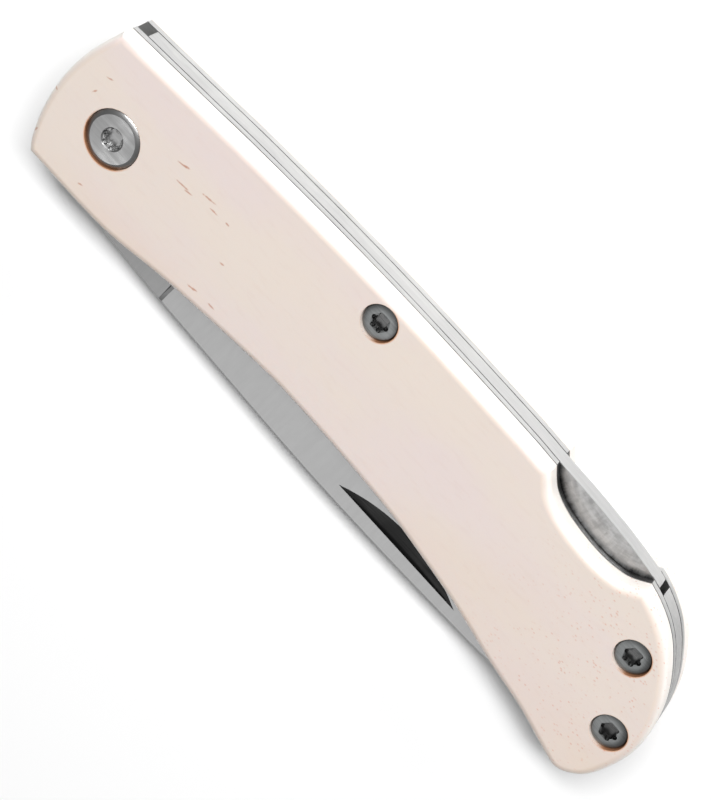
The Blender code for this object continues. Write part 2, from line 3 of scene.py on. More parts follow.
import bmesh
import bpy
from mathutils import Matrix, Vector


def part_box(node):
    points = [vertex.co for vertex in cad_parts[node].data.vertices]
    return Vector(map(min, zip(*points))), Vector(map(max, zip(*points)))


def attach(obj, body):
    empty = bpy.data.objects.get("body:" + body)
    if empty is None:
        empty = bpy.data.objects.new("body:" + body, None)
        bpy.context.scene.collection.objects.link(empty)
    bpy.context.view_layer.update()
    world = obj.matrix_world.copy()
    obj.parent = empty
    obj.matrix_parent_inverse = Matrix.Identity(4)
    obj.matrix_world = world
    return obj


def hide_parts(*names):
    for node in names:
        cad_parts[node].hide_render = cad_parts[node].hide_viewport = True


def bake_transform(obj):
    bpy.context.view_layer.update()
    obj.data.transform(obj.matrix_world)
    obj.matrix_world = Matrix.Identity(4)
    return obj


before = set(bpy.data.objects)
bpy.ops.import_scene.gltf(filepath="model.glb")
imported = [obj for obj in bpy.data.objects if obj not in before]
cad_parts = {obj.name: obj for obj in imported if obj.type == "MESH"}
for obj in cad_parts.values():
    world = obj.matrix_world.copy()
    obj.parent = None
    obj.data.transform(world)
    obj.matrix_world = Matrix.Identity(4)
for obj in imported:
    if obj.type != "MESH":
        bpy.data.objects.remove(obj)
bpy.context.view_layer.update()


# ---------------------------------------------------------------------------------------------
# Liners. Two flat steel plates of the handle's outline, laser cut from sheet, surface ground on
# their faces and satin finished round their edges together with the bone. They carry everything
# else: the barrels pass through them and the scales lie on them.
# ---------------------------------------------------------------------------------------------
MM = 0.001
LINER_EDGE_BREAK = 0.08 * MM
CORNER_TURN = math.radians(24)
CORNER_CLEAR = 1.0 * MM
OUTLINE_STEPS = 4
OUTLINE_FIT = 0.99985
ROUND_SIDES = 96
SHAFT_GAP = 0.05 * MM
JOIN_REACH = 0.004 * MM
FLAT_TURN = math.radians(0.4)
HEIGHT_SLACK = 0.1 * MM
FINE_SLACK = 0.02 * MM

# The thumb notch, and how high the layers' bare edges in it lie.
BAR_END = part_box("lock_bar")[1].x
NOTCH_START = BAR_END - 18.3 * MM
NOTCH_END = BAR_END - 1.1 * MM
NOTCH_ABOVE = 7.0 * MM
REAR_NOTCH_SHORTER = 1.1 * MM

# The grinding, and from where to where, measured from the pivot, painted shade darkens the steel's
# edges toward the butt.
LINE_SCALE = 9000.0
BAND_SCALE = 2600.0
PATCH_SCALE = 180.0
LINE_STRETCH = (0.04, 1, 1)
GLOSS_SWING = 0.06
BUMP_STRENGTH = 0.5
BUTT_SHADE_FROM = 76 * MM
BUTT_SHADE_TO = 94 * MM
BUTT_SHADE_SHARE = (0.36, 0.36, 0.36)
LINER_LIGHT = (0.635, 0.635, 0.63)
LINER_DARK = (0.55, 0.55, 0.55)
# Painted shade for the thin gaps between layers and for the blade's plunge line.
JOINT_SHADE_LIGHT = (0.30, 0.30, 0.30)
JOINT_SHADE_DARK = (0.12, 0.12, 0.12)
# Painted shade on the liners' bare edges inside the thumb notch.
NOTCH_SHADE_LIGHT = (0.16, 0.16, 0.16)
NOTCH_SHADE_DARK = (0.07, 0.07, 0.07)


def middle(node):
    """The middle of a node's box."""
    low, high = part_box(node)
    return (low + high) / 2


def width(node):
    """The width of a node's box along X, which is the diameter of a round piece."""
    low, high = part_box(node)
    return high.x - low.x


def activate(piece):
    """Select one piece and nothing else."""
    for other in list(bpy.context.selected_objects):
        other.select_set(False)
    bpy.context.view_layer.objects.active = piece
    piece.select_set(True)


def merged_copy(name, node):
    """A copy of a CAD node under a new name, with its triangles joined and its flat faces whole."""
    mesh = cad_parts[node].data.copy()
    mesh.materials.clear()
    piece = bpy.data.objects.new(name, mesh)
    bpy.context.scene.collection.objects.link(piece)
    activate(piece)
    bpy.ops.object.mode_set(mode="EDIT")
    bpy.ops.mesh.select_all(action="SELECT")
    bpy.ops.mesh.remove_doubles(threshold=JOIN_REACH)
    bpy.ops.mesh.customdata_custom_splitnormals_clear()
    bpy.ops.mesh.dissolve_limited(angle_limit=FLAT_TURN)
    bpy.ops.object.mode_set(mode="OBJECT")
    return piece


def pick(kind, test):
    """Select the verts, edges or faces of the piece in edit mode that pass a test."""
    bpy.ops.mesh.select_mode(type=kind)
    bpy.ops.mesh.select_all(action="DESELECT")
    mesh = bmesh.from_edit_mesh(bpy.context.object.data)
    mesh.normal_update()
    items = {"VERT": mesh.verts, "EDGE": mesh.edges, "FACE": mesh.faces}[kind]
    for item in items:
        if test(item):
            item.select_set(True)
    mesh.select_flush_mode()
    bmesh.update_edit_mesh(bpy.context.object.data)


def apply_modifiers(piece):
    """Apply every modifier of a piece."""
    activate(piece)
    for modifier in list(piece.modifiers):
        bpy.ops.object.modifier_apply(modifier=modifier.name)


def finish_shading(piece, angle=35):
    """Smooth shading between faces that meet at a small angle, weighted by the larger faces."""
    activate(piece)
    bpy.ops.object.shade_smooth_by_angle(angle=math.radians(angle))
    weighted = piece.modifiers.new("weighted normals", "WEIGHTED_NORMAL")
    weighted.keep_sharp = True
    apply_modifiers(piece)


def break_edges(piece, size, angle=30):
    """Round every edge sharper than an angle, as tumbling or a light stoning leaves it."""
    bevel = piece.modifiers.new("broken edges", "BEVEL")
    bevel.width = size
    bevel.segments = 2
    bevel.limit_method = "ANGLE"
    bevel.angle_limit = math.radians(angle)
    bevel.use_clamp_overlap = True
    apply_modifiers(piece)


def subtract(piece, cutter):
    """Cut one piece with another, and remove the cutter."""
    boolean = piece.modifiers.new("cut", "BOOLEAN")
    boolean.operation = "DIFFERENCE"
    boolean.solver = "EXACT"
    boolean.object = cutter
    apply_modifiers(piece)
    bpy.data.objects.remove(cutter)


def pins(places, radius, low, high):
    """Round cutters at several places, as one object."""
    made = []
    for place in places:
        bpy.ops.mesh.primitive_cylinder_add(
            vertices=ROUND_SIDES, radius=radius, depth=high - low,
            location=(place.x, place.y, (low + high) / 2))
        made.append(bpy.context.object)
    for pin in made:
        pin.select_set(True)
    if len(made) > 1:
        bpy.ops.object.join()
    bpy.ops.object.transform_apply(location=True, rotation=True, scale=True)
    return bpy.context.object


def handle_outline(name):
    """The outline that liners and scales share, as a closed wire on a fine smooth curve."""
    wire = merged_copy(name, "front_liner")
    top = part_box("front_liner")[1].z
    holes = [(middle(n), width(n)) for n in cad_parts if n.endswith("_barrel")]
    bpy.ops.object.mode_set(mode="EDIT")
    pick("FACE", lambda face: face.normal.z > 0.9
         and face.calc_center_median().z > top - HEIGHT_SLACK)
    bpy.ops.mesh.region_to_loop()
    bpy.ops.mesh.select_all(action="INVERT")
    bpy.ops.mesh.delete(type="EDGE")
    pick("VERT", lambda vert: any((vert.co - c).xy.length < 0.8 * size for c, size in holes))
    bpy.ops.mesh.delete(type="VERT")
    pick("VERT", lambda vert: vert.co.z < top - HEIGHT_SLACK or not vert.link_edges)
    bpy.ops.mesh.delete(type="VERT")
    bpy.ops.object.mode_set(mode="OBJECT")
    bpy.ops.object.convert(target="CURVE")
    wire = bpy.context.object
    bpy.ops.object.mode_set(mode="EDIT")
    bpy.ops.curve.select_all(action="SELECT")
    bpy.ops.curve.spline_type_set(type="BEZIER")
    bpy.ops.curve.handle_type_set(type="AUTOMATIC")
    bpy.ops.curve.select_all(action="DESELECT")
    points = wire.data.splines[0].bezier_points
    corners = []
    for i, point in enumerate(points):
        before = point.co - points[i - 1].co
        after = points[(i + 1) % len(points)].co - point.co
        if before.angle(after) > CORNER_TURN:
            corners.append(point.co.copy())
            point.select_control_point = True
            point.select_left_handle = True
            point.select_right_handle = True
    bpy.ops.curve.handle_type_set(type="VECTOR")
    bpy.ops.object.mode_set(mode="OBJECT")
    wire.data.resolution_u = OUTLINE_STEPS
    bpy.ops.object.convert(target="MESH")
    wire = bpy.context.object
    bpy.ops.object.mode_set(mode="EDIT")
    bpy.ops.mesh.select_all(action="SELECT")
    bpy.ops.mesh.remove_doubles(threshold=0.01 * MM)
    pick("VERT", lambda vert: any(
        FINE_SLACK < (vert.co - corner).length < CORNER_CLEAR for corner in corners))
    bpy.ops.mesh.dissolve_verts()
    bpy.ops.mesh.select_all(action="SELECT")
    bpy.ops.transform.resize(value=(OUTLINE_FIT, OUTLINE_FIT, 1), center_override=(0, 0, 0))
    bpy.ops.object.mode_set(mode="OBJECT")
    return wire


def plate(name, low, high):
    """A flat plate of the handle's outline between two heights."""
    piece = handle_outline(name)
    lift = low - piece.data.vertices[0].co.z
    bpy.ops.object.mode_set(mode="EDIT")
    bpy.ops.mesh.select_all(action="SELECT")
    bpy.ops.mesh.edge_face_add()
    bpy.ops.transform.translate(value=(0, 0, lift))
    bpy.ops.mesh.extrude_region_move(TRANSFORM_OT_translate={"value": (0, 0, high - low)})
    bpy.ops.mesh.select_all(action="SELECT")
    bpy.ops.mesh.normals_make_consistent(inside=False)
    bpy.ops.object.mode_set(mode="OBJECT")
    return piece


def put(tree, kind, inputs=None, **settings):
    """Add a node, set its properties, and give its inputs a value or another node's output."""
    made = tree.nodes.new(kind)
    for name, value in settings.items():
        setattr(made, name, value)
    for name, value in (inputs or {}).items():
        if isinstance(value, bpy.types.NodeSocket):
            tree.links.new(value, made.inputs[name])
        else:
            made.inputs[name].default_value = value
    return made


def calculate(tree, operation, a, b=0.0):
    """A Math node's output."""
    return put(tree, "ShaderNodeMath", {0: a, 1: b}, operation=operation).outputs[0]


def between(tree, value, low, high, to_low=0.0, to_high=1.0):
    """A value brought from one range to another, smoothly and clamped."""
    return put(tree, "ShaderNodeMapRange", {0: value, 1: low, 2: high, 3: to_low, 4: to_high},
               interpolation_type="SMOOTHSTEP").outputs[0]


def blend_colors(tree, factor, a, b, blend="MIX"):
    """A colour Mix node's output."""
    inputs = {0: factor, 6: a, 7: b}
    return put(tree, "ShaderNodeMix", inputs, data_type="RGBA", blend_type=blend).outputs[2]


def noise(tree, vector, scale, detail=2.0, roughness=0.5):
    """A Noise texture's value."""
    inputs = {"Vector": vector, "Scale": scale, "Detail": detail, "Roughness": roughness}
    return put(tree, "ShaderNodeTexNoise", inputs).outputs[0]


def place_coordinates(tree, origin=(0, 0, 0), turn=(0, 0, 0), scale=(1, 1, 1)):
    """Object coordinates about an origin, turned and then scaled, in metres."""
    place = put(tree, "ShaderNodeTexCoord").outputs["Object"]
    moved = put(tree, "ShaderNodeMapping", {0: place, 1: [-v for v in origin]}).outputs[0]
    return put(tree, "ShaderNodeMapping", {0: moved, 2: turn, 3: scale}).outputs[0]


def new_group(name, inputs, outputs):
    """A shader node group with named sockets; returns its tree, its input node and its output node."""
    tree = bpy.data.node_groups.new(name, "ShaderNodeTree")
    for label, kind, value in inputs:
        socket = tree.interface.new_socket(label, in_out="INPUT", socket_type=kind)
        if value is not None:
            socket.default_value = value
    for label, kind in outputs:
        tree.interface.new_socket(label, in_out="OUTPUT", socket_type=kind)
    return tree, tree.nodes.new("NodeGroupInput"), tree.nodes.new("NodeGroupOutput")


def new_material(name):
    """A material with only its Principled shader and output left in."""
    made = bpy.data.materials.new(name)
    made.use_nodes = True
    return made, made.node_tree, made.node_tree.nodes["Principled BSDF"]


def grinding_group():
    """Fine lines along X, and softer patches, as a belt or wheel leaves in steel."""
    tree, given, out = new_group(
        "grinding lines",
        [("Vector", "NodeSocketVector", None), ("Fineness", "NodeSocketFloat", 1.0)],
        [("Lines", "NodeSocketFloat"), ("Patches", "NodeSocketFloat")])
    fine_scale = calculate(tree, "MULTIPLY", given.outputs["Fineness"], LINE_SCALE)
    band_scale = calculate(tree, "MULTIPLY", given.outputs["Fineness"], BAND_SCALE)
    along = put(tree, "ShaderNodeMapping", {0: given.outputs["Vector"], 3: LINE_STRETCH}).outputs[0]
    fine = noise(tree, along, fine_scale, 3.0, 0.6)
    bands = noise(tree, along, band_scale, 2.0)
    both = calculate(tree, "ADD", calculate(tree, "MULTIPLY", fine, 0.6),
                     calculate(tree, "MULTIPLY", bands, 0.4))
    patches = noise(tree, given.outputs["Vector"], PATCH_SCALE, 3.0)
    tree.links.new(between(tree, both, 0.3, 0.7), out.inputs["Lines"])
    tree.links.new(between(tree, patches, 0.35, 0.65), out.inputs["Patches"])
    return tree


GRINDING = grinding_group()


def flattened(tree, flatness):
    """The surface normal brought nearer to the piece's own Z, for a face ground flat."""
    normal = put(tree, "ShaderNodeTexCoord").outputs["Normal"]
    kept = (1 - flatness, 1 - flatness, 1)
    upright = put(tree, "ShaderNodeVectorMath", {0: normal, 1: kept}, operation="MULTIPLY").outputs[0]
    level = put(tree, "ShaderNodeVectorMath", {0: upright}, operation="NORMALIZE").outputs[0]
    return put(tree, "ShaderNodeVectorTransform", {0: level}, vector_type="NORMAL",
               convert_from="OBJECT", convert_to="WORLD").outputs[0]


def steel(name, light, dark, origin, roughness, bump, turn=(0, 0, 0), fineness=1.0, patchy=0.3,
          butt_shade=None, flatness=0.0):
    """Ground steel: lines along the turned X change its colour, gloss and height (bump, in mm)."""
    made, tree, shader = new_material(name)
    vector = place_coordinates(tree, origin, turn)
    lines = put(tree, "ShaderNodeGroup", {}, node_tree=GRINDING)
    tree.links.new(vector, lines.inputs["Vector"])
    lines.inputs["Fineness"].default_value = fineness
    patches = calculate(tree, "MULTIPLY", lines.outputs["Patches"], patchy)
    share = calculate(tree, "MULTIPLY", lines.outputs["Lines"], 1 - patchy)
    share = calculate(tree, "ADD", share, patches)
    color = blend_colors(tree, share, (*dark, 1), (*light, 1))
    # Painted shade: the colour darkens along X between the two given distances.
    if butt_shade:
        along = put(tree, "ShaderNodeSeparateXYZ", {0: vector}).outputs["X"]
        butt_shaded = between(tree, along, *butt_shade)
        color = blend_colors(tree, butt_shaded, color, (*BUTT_SHADE_SHARE, 1), blend="MULTIPLY")
    swing = GLOSS_SWING * (1 - flatness)
    gloss = between(tree, share, 0.0, 1.0, roughness + swing, roughness - swing)
    relief = put(tree, "ShaderNodeBump", {
        "Height": lines.outputs["Lines"], "Distance": bump * MM, "Strength": BUMP_STRENGTH})
    if flatness:
        tree.links.new(flattened(tree, flatness), relief.inputs["Normal"])
    tree.links.new(color, shader.inputs["Base Color"])
    tree.links.new(gloss, shader.inputs["Roughness"])
    tree.links.new(relief.outputs[0], shader.inputs["Normal"])
    shader.inputs["Metallic"].default_value = 1.0
    return made


PIVOT = middle("pivot_barrel")
# Painted shade darkens this steel toward the butt.
LINER_STEEL = steel("liner_steel", LINER_LIGHT, LINER_DARK, PIVOT, roughness=0.34, bump=0.004,
                    fineness=0.5, butt_shade=(BUTT_SHADE_FROM, BUTT_SHADE_TO))
NOTCH_SHADE_STEEL = steel("notch_edge_shade", NOTCH_SHADE_LIGHT, NOTCH_SHADE_DARK, PIVOT, roughness=0.42, bump=0.004,
                    patchy=0.7)
JOINT_SHADE_STEEL = steel("joint_shade_steel", JOINT_SHADE_LIGHT, JOINT_SHADE_DARK, PIVOT, roughness=0.5, bump=0.004,
                    patchy=0.9)
BARRELS = [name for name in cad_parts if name.endswith("_barrel")]


def dress(piece, *materials):
    """Give a piece its materials; every face starts with the first."""
    for material in materials:
        piece.data.materials.append(material)


def dress_faces(piece, material, test):
    """Give one of a piece's materials to the faces that pass a test."""
    index = piece.data.materials.find(material.name)
    for face in piece.data.polygons:
        if test(face):
            face.material_index = index


def paint_joint_shade(piece):
    """Painted shade: darken the broken edges of a layer along the spine, except where the notch bares
    them.
    """
    dress_faces(piece, JOINT_SHADE_STEEL, lambda face: 0.2 < abs(face.normal.z) < 0.96
                and face.center.y > 0.0 and not NOTCH_START < face.center.x < NOTCH_END)


def make_liner(side):
    """One liner, bored for the four barrels."""
    node = f"{side}_liner"
    low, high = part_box(node)
    liner = plate(f"{side}_liner_plate", low.z, high.z)
    body = [middle(name) for name in BARRELS if name != "pivot_barrel"]
    subtract(liner, pins([PIVOT], width("pivot_barrel") / 2 + SHAFT_GAP, low.z - MM, high.z + MM))
    subtract(liner, pins(body, width("lock_bar_barrel") / 2 + SHAFT_GAP, low.z - MM, high.z + MM))
    break_edges(liner, LINER_EDGE_BREAK)
    finish_shading(liner)
    dress(liner, LINER_STEEL, NOTCH_SHADE_STEEL, JOINT_SHADE_STEEL)
    paint_joint_shade(liner)
    # Painted shade on the liner's edge inside the thumb notch.
    end = NOTCH_END - (REAR_NOTCH_SHORTER if side == "rear" else 0.0)
    dress_faces(liner, NOTCH_SHADE_STEEL, lambda face: NOTCH_START < face.center.x < end
                and face.center.y > NOTCH_ABOVE and abs(face.normal.z) < 0.9)
    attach(liner, "handle")
    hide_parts(node)


make_liner("front")
make_liner("rear")


# ---------------------------------------------------------------------------------------------
# Barrels. Turned steel tubes, threaded inside, that pass through both liners. The pivot barrel is
# the blade's axle and the lock bar's barrel is the rocker's axle. They are hidden by the scales.
# ---------------------------------------------------------------------------------------------
BARREL_LIGHT = (0.58, 0.58, 0.58)
BARREL_DARK = (0.42, 0.42, 0.43)

for name in BARRELS:
    turned = steel(f"{name}_steel", BARREL_LIGHT, BARREL_DARK, middle(name), roughness=0.3,
                   bump=0.003, turn=(0, math.pi / 2, 0))
    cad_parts[name].data.materials.clear()
    dress(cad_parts[name], turned)


# ---------------------------------------------------------------------------------------------
# Washers. Two thin rings punched from phosphor bronze sheet, one on each side of the tang, where
# the blade turns against the liners.
# ---------------------------------------------------------------------------------------------
WASHER_LIGHT = (0.62, 0.40, 0.20)
WASHER_DARK = (0.42, 0.25, 0.12)

WASHER_BRONZE = steel("washer_bronze", WASHER_LIGHT, WASHER_DARK, PIVOT, roughness=0.38, bump=0.003,
                      fineness=0.6, patchy=0.6)
for name in ("front_pivot_washer", "rear_pivot_washer"):
    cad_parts[name].data.materials.clear()
    dress(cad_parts[name], WASHER_BRONZE)


# ---------------------------------------------------------------------------------------------
# Blade. One forged and hardened plate: a tang with the cam, lock notch and shoulder, a short
# ricasso, and a full flat grind that starts at the plunge line. The nail nick is milled in its
# front face. The nick, the tang's edges, the ricasso and the plunge line carry painted shade.
# ---------------------------------------------------------------------------------------------
BLADE_LIGHT = (0.452, 0.452, 0.452)
BLADE_DARK = (0.444, 0.444, 0.444)
# Painted shade: a darker copy of the blade steel for the ricasso.
RICASSO_SHADE_LIGHT = (0.352, 0.352, 0.352)
RICASSO_SHADE_DARK = (0.340, 0.340, 0.340)
NICK_SHADE_LIGHT = (0.06, 0.06, 0.06)
NICK_SHADE_DARK = (0.03, 0.03, 0.03)
BLADE_SHADING_ANGLE = 25
NICK_SLOPE = math.radians(5)
NICK_FROM_TIP = 26.3 * MM
NICK_REACH = 11.0 * MM
NICK_DEPTH = 6.5 * MM
PLUNGE_X = PIVOT.x + 16.0 * MM
PLUNGE_RUN = 0.5 * MM

blade = merged_copy("blade_ground", "blade")
finish_shading(blade, BLADE_SHADING_ANGLE)
BLADE_STEEL = steel("blade_steel", BLADE_LIGHT, BLADE_DARK, middle("blade"), roughness=0.36,
                    bump=0.001, turn=(0, 0, math.pi / 2), fineness=0.9, patchy=0.05, flatness=0.8)
NICK_SHADE_STEEL = steel("nick_and_tang_shade", NICK_SHADE_LIGHT, NICK_SHADE_DARK, middle("blade"), roughness=0.5, bump=0.004,
                   fineness=0.4)
RICASSO_SHADE_STEEL = steel("ricasso_shade_steel", RICASSO_SHADE_LIGHT, RICASSO_SHADE_DARK, middle("blade"), roughness=0.36,
                      bump=0.001, turn=(0, 0, math.pi / 2), fineness=0.9, patchy=0.05, flatness=0.8)
dress(blade, BLADE_STEEL, NICK_SHADE_STEEL, RICASSO_SHADE_STEEL, JOINT_SHADE_STEEL)
blade_low, blade_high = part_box("blade")
nick_x = blade_high.x - NICK_FROM_TIP


def in_nick(face):
    """Whether a face is one of the nick's slopes or its floor."""
    near = abs(face.center.x - nick_x) < NICK_REACH and abs(face.center.y - blade_low.y) < NICK_DEPTH
    sloping = face.normal.angle(Vector((0, 0, 1))) > NICK_SLOPE and face.normal.y > -0.95
    return near and sloping and face.center.z > middle("blade").z


# Painted shade on the ricasso.
dress_faces(blade, RICASSO_SHADE_STEEL, lambda face: face.center.x < PLUNGE_X)
# Painted shade on the tang's edges, deep between the liners.
dress_faces(blade, NICK_SHADE_STEEL, lambda face: face.center.x < PIVOT.x and abs(face.normal.z) < 0.5)
# Painted shade along the plunge line's facet.
dress_faces(blade, JOINT_SHADE_STEEL, lambda face: abs(face.normal.z) > 0.5
            and PLUNGE_X < face.center.x < PLUNGE_X + PLUNGE_RUN)
# Painted shade on the nick's slopes.
dress_faces(blade, NICK_SHADE_STEEL, in_nick)
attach(blade, "blade")
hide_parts("blade")


# ---------------------------------------------------------------------------------------------
# Lock bar. A steel rocker along the spine, ground flush with the liners along its top. Its hook
# sits over the cam at the front, and the thumb notch uncovers its rear end.
# ---------------------------------------------------------------------------------------------
FLANK_LIGHT = (0.52, 0.52, 0.52)
FLANK_DARK = (0.37, 0.37, 0.37)
FLANK_SHADE = (0.05, 0.05, 0.05)
BAR_EDGE_BREAK = 0.08 * MM

# The flank's grinding marks run round a centre above the bar, and end in the painted shade along the
# border.
ARC_FROM_BAR_END = 8.75 * MM
ARC_ABOVE_BAR = 10.15 * MM
ARC_RADIUS = 14.0 * MM
BORDER_START = 14.2 * MM
BORDER_END = 15.3 * MM
BORDER_RAGGED = 1.6 * MM
ARC_SCALE = 1500.0
ARC_STRETCH = (0.3, 1, 1)
RAY_SCALE = 2200.0
RAY_STRETCH = (1, 0.25, 1)
RAGGED_SCALE = 1100.0


def flank_material():
    """Coarse grinding marks that follow the thumb notch, with painted shade along its border."""
    made, tree, shader = new_material("lock_bar_flank")
    centre = Vector((BAR_END - ARC_FROM_BAR_END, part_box("lock_bar")[1].y + ARC_ABOVE_BAR, 0))
    vector = place_coordinates(tree, centre)
    parts = put(tree, "ShaderNodeSeparateXYZ", {0: vector})
    reach = calculate(tree, "SQRT", calculate(
        tree, "ADD", calculate(tree, "POWER", parts.outputs["X"], 2.0),
        calculate(tree, "POWER", parts.outputs["Y"], 2.0)))
    turn = calculate(tree, "ARCTAN2", parts.outputs["X"], parts.outputs["Y"])
    swept = calculate(tree, "MULTIPLY", turn, ARC_RADIUS)
    around = put(tree, "ShaderNodeCombineXYZ", {0: swept, 1: reach, 2: parts.outputs["Z"]}).outputs[0]
    arcs = put(tree, "ShaderNodeMapping", {0: around, 3: ARC_STRETCH}).outputs[0]
    rays = put(tree, "ShaderNodeMapping", {0: around, 3: RAY_STRETCH}).outputs[0]
    marks = calculate(
        tree, "ADD", calculate(tree, "MULTIPLY", noise(tree, arcs, ARC_SCALE, 4.0, 0.65), 0.65),
        calculate(tree, "MULTIPLY", noise(tree, rays, RAY_SCALE, 3.0), 0.35))
    share = between(tree, marks, 0.32, 0.66)
    color = blend_colors(tree, share, (*FLANK_DARK, 1), (*FLANK_LIGHT, 1))
    # Painted shade along the notch's border, with a ragged edge.
    ragged = calculate(tree, "MULTIPLY", noise(tree, rays, RAGGED_SCALE, 4.0, 0.7), BORDER_RAGGED)
    border = between(tree, calculate(tree, "ADD", reach, ragged), BORDER_START, BORDER_END)
    color = blend_colors(tree, border, color, (*FLANK_SHADE, 1))
    relief = put(tree, "ShaderNodeBump", {
        "Height": share, "Distance": 0.004 * MM, "Strength": BUMP_STRENGTH})
    tree.links.new(color, shader.inputs["Base Color"])
    tree.links.new(between(tree, share, 0.0, 1.0, 0.44, 0.34), shader.inputs["Roughness"])
    tree.links.new(relief.outputs[0], shader.inputs["Normal"])
    shader.inputs["Metallic"].default_value = 1.0
    return made


FLANK_STEEL = flank_material()
bar = merged_copy("lock_bar_ground", "lock_bar")
break_edges(bar, BAR_EDGE_BREAK)
finish_shading(bar)
dress(bar, LINER_STEEL, FLANK_STEEL, JOINT_SHADE_STEEL)
paint_joint_shade(bar)
dress_faces(bar, FLANK_STEEL, lambda face: abs(face.normal.z) > 0.96)
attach(bar, "lock_bar")
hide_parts("lock_bar")


# ---------------------------------------------------------------------------------------------
# Lock spring. A strip of tempered steel whose root is pressed in the spacer's slot. It bends up
# under the rear arm of the lock bar and holds the hook down.
# ---------------------------------------------------------------------------------------------
SPRING_LIGHT = (0.55, 0.55, 0.56)
SPRING_DARK = (0.40, 0.40, 0.42)
SPRING_EDGE_BREAK = 0.05 * MM

leaf = merged_copy("lock_spring_leaf", "lock_spring")
break_edges(leaf, SPRING_EDGE_BREAK)
finish_shading(leaf)
SPRING_STEEL = steel("spring_steel", SPRING_LIGHT, SPRING_DARK, middle("lock_spring"),
                     roughness=0.3, bump=0.003)
dress(leaf, SPRING_STEEL)
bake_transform(leaf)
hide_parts("lock_spring")


# ---------------------------------------------------------------------------------------------
# Butt spacer. A solid steel block between the liners that closes the butt, ground flush with
# them round its edge. It is held by the two butt screws.
# ---------------------------------------------------------------------------------------------
spacer = merged_copy("butt_spacer_block", "butt_spacer")
break_edges(spacer, BAR_EDGE_BREAK)
finish_shading(spacer)
dress(spacer, LINER_STEEL, JOINT_SHADE_STEEL)
paint_joint_shade(spacer)
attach(spacer, "handle")
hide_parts("butt_spacer")


# ---------------------------------------------------------------------------------------------
# Bone scales. Slabs sawn from cattle shin bone, rounded over along their outer edge and polished.
# The bone keeps its own faint tan clouds, fine pores along its length and short red-brown vessel
# marks, and stain has crept into the rims of the screw counterbores.
# ---------------------------------------------------------------------------------------------
SCALE_ROUNDING = 1.15 * MM
SCALE_SEGMENTS = 8
HEAD_GAP = 0.1 * MM
SEAT_GAP = 0.05 * MM
RIM_BREAK = 0.08 * MM
INNER_BREAK = 0.1 * MM
CORNER_FROM_BAR_END = 1.05 * MM
CORNER_ABOVE = 9.0 * MM
CORNER_ROUND = 0.8 * MM
PLANE_SLACK = 0.01 * MM

BONE_CREAM = (0.690, 0.606, 0.543)
BONE_TAN = (0.675, 0.555, 0.455)
BONE_PINK = (0.685, 0.593, 0.565)
BONE_PAINTED_LIGHT = (0.76, 0.72, 0.68)
PORE_ROSE = (0.60, 0.27, 0.18)
WALL_STAIN_AND_SHADE = (0.22, 0.10, 0.05)
VESSEL_BROWN = (0.42, 0.16, 0.08)
STAIN_BROWN = (0.52, 0.22, 0.07)

# How far clouds, pores and grain are drawn out along the handle, and how fine they are.
CLOUD_STRETCH = (0.35, 1, 1)
CLOUD_SCALE = 90.0
TAN_SCALE = 34.0
GRAIN_STRETCH = (0.22, 1, 1)
GRAIN_SCALE = 1400.0
PORE_STRETCH = (0.55, 1, 1)
PORE_SCALE = 2500.0
PORE_STRENGTH = 0.6
CROWD_SCALE = 700.0
PORES_FROM = 62 * MM
PORES_FULL = 82 * MM

# The vessel marks, and the stain round the screw holes with the side it leans to.
MARK_WIDTH = 0.19 * MM
MARK_STRENGTH = 0.62
MARK_RAGGED_SCALE = 2500.0
STAIN_WIDTH = 0.25 * MM
STAIN_STRENGTH = 0.8
STAIN_UNEVEN_SCALE = 900.0
WALL_STAIN_EDGE = 0.06 * MM
PIVOT_STAIN_SIDE = (-0.3, -1.0, 0.0)
BODY_STAIN_SIDE = (1.0, 0.0, 0.0)


def streak_group():
    """A short thin mark along X about a centre."""
    tree, given, out = new_group(
        "vessel mark",
        [("Vector", "NodeSocketVector", None), ("Centre", "NodeSocketVector", None),
         ("Turn", "NodeSocketVector", None), ("Size", "NodeSocketVector", None)],
        [("Mask", "NodeSocketFloat")])
    moved = put(tree, "ShaderNodeVectorMath", {0: given.outputs["Vector"], 1: given.outputs["Centre"]},
                operation="SUBTRACT").outputs[0]
    turned = put(tree, "ShaderNodeVectorRotate", {0: moved, "Rotation": given.outputs["Turn"]},
                 rotation_type="EULER_XYZ").outputs[0]
    scaled = put(tree, "ShaderNodeVectorMath", {0: turned, 1: given.outputs["Size"]},
                 operation="DIVIDE").outputs[0]
    length = put(tree, "ShaderNodeVectorMath", {0: scaled}, operation="LENGTH").outputs["Value"]
    ragged = noise(tree, given.outputs["Vector"], MARK_RAGGED_SCALE, 2.0)
    length = calculate(tree, "ADD", length, calculate(tree, "MULTIPLY", ragged, 0.9))
    tree.links.new(between(tree, length, 0.75, 1.3, 1.0, 0.0), out.inputs["Mask"])
    return tree


